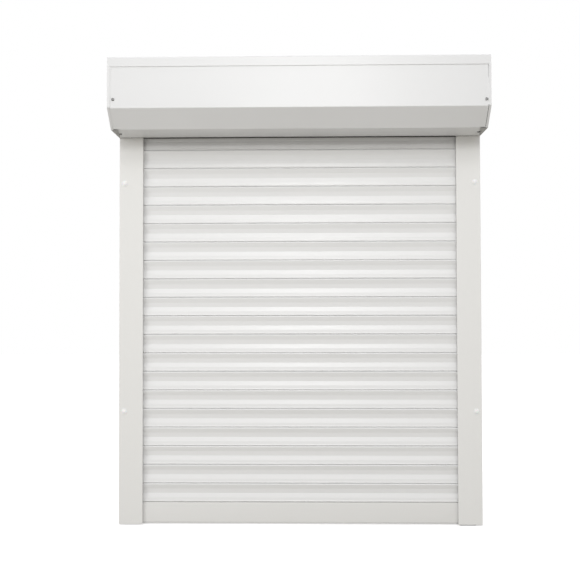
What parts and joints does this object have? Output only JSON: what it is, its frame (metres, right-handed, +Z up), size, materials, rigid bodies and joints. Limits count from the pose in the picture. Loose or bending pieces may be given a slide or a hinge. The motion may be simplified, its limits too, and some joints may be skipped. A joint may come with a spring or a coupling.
{
  "type": "motorised roller shutter",
  "caption": "Front-mounted window roller shutter: an octagonal axle with a tubular motor in a slant-front box rolls up an interlocking slat curtain that runs in side guide rails.",
  "frame": {"origin": "on the wall plane, at the centre of the four wall-screw holes in the guide rails", "axes": "+X to the right seen from outside, +Y into the wall, +Z up along the guide rails"},
  "size_m": [0.8016, 0.1508, 1.001],
  "materials": {
    "box_coat": "white powder coat",
    "guide_coat": "white powder coat",
    "slat_coat": "white coil coat",
    "bar_coat": "white powder coat",
    "screw_steel": "zinc plated",
    "rivet_metal": "painted",
    "brush_pile": "short pile",
    "white_plastic": "satin",
    "black_plastic": "fine texture",
    "seal_rubber": "matt",
    "bar_seal": "matt",
    "spring_steel": "blued",
    "galvanised_steel": "galvanised",
    "bearing_steel": "ground",
    "motor_coat": "drawn tube",
    "motor_plastic": "moulded",
    "lamination_steel": "stacked sheets",
    "gear_metal": "sintered",
    "yellow_plastic": "satin"
  },
  "bodies": {
    "frame": {"end_cap_left": "box_coat", "end_cap_right": "box_coat", "top_back_shell": "box_coat", "inspection_cover": "box_coat", "cover_screws": "screw_steel", "shell_rivets": "rivet_metal", "guide_rail_left": "guide_coat", "guide_rail_right": "guide_coat", "brush_seals_left": "brush_pile", "brush_seals_right": "brush_pile", "guide_rail_plugs": "white_plastic", "cover_edge_seal": "seal_rubber", "inlet_funnel_left": "black_plastic", "inlet_funnel_right": "black_plastic", "bearing_outer_ring": "bearing_steel", "bearing_holder": "galvanised_steel", "motor_tube": "motor_coat", "motor_head": "motor_plastic", "motor_bracket": "galvanised_steel", "stator": "lamination_steel", "brake": "gear_metal", "gearbox": "gear_metal", "capacitor": "motor_plastic", "bracket_screws": "screw_steel", "cable_grommet": "seal_rubber"},
    "curtain_bar": {"bottom_bar": "bar_coat", "bottom_seal": "bar_seal", "bottom_bar_glides": "black_plastic"},
    "slat_01": {"slat_01": "slat_coat"},
    "slat_02": {"slat_02": "slat_coat"},
    "slat_03": {"slat_03": "slat_coat"},
    "slat_04": {"slat_04": "slat_coat"},
    "slat_05": {"slat_05": "slat_coat"},
    "slat_06": {"slat_06": "slat_coat"},
    "slat_07": {"slat_07": "slat_coat"},
    "slat_08": {"slat_08": "slat_coat"},
    "slat_09": {"slat_09": "slat_coat"},
    "slat_10": {"slat_10": "slat_coat"},
    "slat_11": {"slat_11": "slat_coat"},
    "slat_12": {"slat_12": "slat_coat"},
    "slat_13": {"slat_13": "slat_coat"},
    "slat_14": {"slat_14": "slat_coat"},
    "slat_15": {"slat_15": "slat_coat"},
    "slat_16": {"slat_16": "slat_coat"},
    "slat_17": {"slat_17": "slat_coat"},
    "slat_18": {"slat_18": "slat_coat"},
    "slat_19": {"slat_19": "slat_coat"},
    "slat_20": {"slat_20": "slat_coat"},
    "axle": {"axle_tube": "galvanised_steel", "idler_cap": "black_plastic", "idler_pin": "bearing_steel", "bearing_inner_ring": "bearing_steel", "limit_crown": "black_plastic", "drive_wheel": "black_plastic", "output_shaft": "bearing_steel", "hanger_straps": "spring_steel"},
    "ball_cage": {"ball_cage": "bearing_steel"},
    "rotor": {"rotor": "lamination_steel"},
    "limit_screw_up": {"limit_screw_up": "yellow_plastic"},
    "limit_screw_down": {"limit_screw_down": "white_plastic"}
  },
  "joints": [
    {"name": "curtain_lift", "type": "slide", "parent": "frame", "child": "curtain_bar", "axis": [0, 0, 1], "range_m": [0, 0.84]},
    {"name": "slat_01_rise", "type": "slide", "parent": "frame", "child": "slat_01", "axis": [0, 0, 1], "range_m": [0, 0.84], "deforming": ["slat_01"]},
    {"name": "slat_02_rise", "type": "slide", "parent": "frame", "child": "slat_02", "axis": [0, 0, 1], "range_m": [0, 0.80225], "deforming": ["slat_02"]},
    {"name": "slat_03_rise", "type": "slide", "parent": "frame", "child": "slat_03", "axis": [0, 0, 1], "range_m": [0, 0.7645], "deforming": ["slat_03"]},
    {"name": "slat_04_rise", "type": "slide", "parent": "frame", "child": "slat_04", "axis": [0, 0, 1], "range_m": [0, 0.72675], "deforming": ["slat_04"]},
    {"name": "slat_05_rise", "type": "slide", "parent": "frame", "child": "slat_05", "axis": [0, 0, 1], "range_m": [0, 0.689], "deforming": ["slat_05"]},
    {"name": "slat_06_rise", "type": "slide", "parent": "frame", "child": "slat_06", "axis": [0, 0, 1], "range_m": [0, 0.65125], "deforming": ["slat_06"]},
    {"name": "slat_07_rise", "type": "slide", "parent": "frame", "child": "slat_07", "axis": [0, 0, 1], "range_m": [0, 0.6135], "deforming": ["slat_07"]},
    {"name": "slat_08_rise", "type": "slide", "parent": "frame", "child": "slat_08", "axis": [0, 0, 1], "range_m": [0, 0.57575], "deforming": ["slat_08"]},
    {"name": "slat_09_rise", "type": "slide", "parent": "frame", "child": "slat_09", "axis": [0, 0, 1], "range_m": [0, 0.538], "deforming": ["slat_09"]},
    {"name": "slat_10_rise", "type": "slide", "parent": "frame", "child": "slat_10", "axis": [0, 0, 1], "range_m": [0, 0.50025], "deforming": ["slat_10"]},
    {"name": "slat_11_rise", "type": "slide", "parent": "frame", "child": "slat_11", "axis": [0, 0, 1], "range_m": [0, 0.4625], "deforming": ["slat_11"]},
    {"name": "slat_12_rise", "type": "slide", "parent": "frame", "child": "slat_12", "axis": [0, 0, 1], "range_m": [0, 0.42475], "deforming": ["slat_12"]},
    {"name": "slat_13_rise", "type": "slide", "parent": "frame", "child": "slat_13", "axis": [0, 0, 1], "range_m": [0, 0.387], "deforming": ["slat_13"]},
    {"name": "slat_14_rise", "type": "slide", "parent": "frame", "child": "slat_14", "axis": [0, 0, 1], "range_m": [0, 0.34925], "deforming": ["slat_14"]},
    {"name": "slat_15_rise", "type": "slide", "parent": "frame", "child": "slat_15", "axis": [0, 0, 1], "range_m": [0, 0.3115], "deforming": ["slat_15"]},
    {"name": "slat_16_rise", "type": "slide", "parent": "frame", "child": "slat_16", "axis": [0, 0, 1], "range_m": [0, 0.27375], "deforming": ["slat_16"]},
    {"name": "slat_17_rise", "type": "slide", "parent": "frame", "child": "slat_17", "axis": [0, 0, 1], "range_m": [0, 0.236], "deforming": ["slat_17"]},
    {"name": "slat_18_rise", "type": "slide", "parent": "frame", "child": "slat_18", "axis": [0, 0, 1], "range_m": [0, 0.19825], "deforming": ["slat_18"]},
    {"name": "slat_19_rise", "type": "slide", "parent": "frame", "child": "slat_19", "axis": [0, 0, 1], "range_m": [0, 0.1605], "deforming": ["slat_19"]},
    {"name": "slat_20_rise", "type": "slide", "parent": "frame", "child": "slat_20", "axis": [0, 0, 1], "range_m": [0, 0.12275], "deforming": ["slat_20"]},
    {"name": "axle_spin", "type": "hinge", "parent": "frame", "child": "axle", "pos_m": [0, -0.076, 0.4275], "axis": [1, 0, 0], "range_deg": [0, 1080], "deforming": ["hanger_straps"]},
    {"name": "ball_cage_spin", "type": "hinge", "parent": "frame", "child": "ball_cage", "pos_m": [-0.387, -0.076, 0.4275], "axis": [1, 0, 0], "range_deg": [0, 412]},
    {"name": "rotor_spin", "type": "hinge", "parent": "frame", "child": "rotor", "pos_m": [0.128, -0.076, 0.4275], "axis": [1, 0, 0], "range_deg": [0, 86400]},
    {"name": "limit_screw_up_turn", "type": "hinge", "parent": "frame", "child": "limit_screw_up", "pos_m": [0.361, -0.0965, 0.4365], "axis": [0, 1, 0], "continuous": true},
    {"name": "limit_screw_down_turn", "type": "hinge", "parent": "frame", "child": "limit_screw_down", "pos_m": [0.361, -0.0965, 0.4185], "axis": [0, 1, 0], "continuous": true}
  ],
  "couplings": [
    {"joint": "slat_01_rise", "follows": "curtain_lift", "ratio": 1},
    {"joint": "slat_02_rise", "follows": "curtain_lift", "ratio": 0.95506},
    {"joint": "slat_03_rise", "follows": "curtain_lift", "ratio": 0.91012},
    {"joint": "slat_04_rise", "follows": "curtain_lift", "ratio": 0.86518},
    {"joint": "slat_05_rise", "follows": "curtain_lift", "ratio": 0.82024},
    {"joint": "slat_06_rise", "follows": "curtain_lift", "ratio": 0.7753},
    {"joint": "slat_07_rise", "follows": "curtain_lift", "ratio": 0.73036},
    {"joint": "slat_08_rise", "follows": "curtain_lift", "ratio": 0.68542},
    {"joint": "slat_09_rise", "follows": "curtain_lift", "ratio": 0.64048},
    {"joint": "slat_10_rise", "follows": "curtain_lift", "ratio": 0.59554},
    {"joint": "slat_11_rise", "follows": "curtain_lift", "ratio": 0.5506},
    {"joint": "slat_12_rise", "follows": "curtain_lift", "ratio": 0.50565},
    {"joint": "slat_13_rise", "follows": "curtain_lift", "ratio": 0.46071},
    {"joint": "slat_14_rise", "follows": "curtain_lift", "ratio": 0.41577},
    {"joint": "slat_15_rise", "follows": "curtain_lift", "ratio": 0.37083},
    {"joint": "slat_16_rise", "follows": "curtain_lift", "ratio": 0.32589},
    {"joint": "slat_17_rise", "follows": "curtain_lift", "ratio": 0.28095},
    {"joint": "slat_18_rise", "follows": "curtain_lift", "ratio": 0.23601},
    {"joint": "slat_19_rise", "follows": "curtain_lift", "ratio": 0.19107},
    {"joint": "slat_20_rise", "follows": "curtain_lift", "ratio": 0.14613},
    {"joint": "axle_spin", "follows": "curtain_lift", "rad_per_m": 22.44},
    {"joint": "ball_cage_spin", "follows": "curtain_lift", "rad_per_m": 8.5496},
    {"joint": "rotor_spin", "follows": "curtain_lift", "rad_per_m": 1795.2}
  ]
}
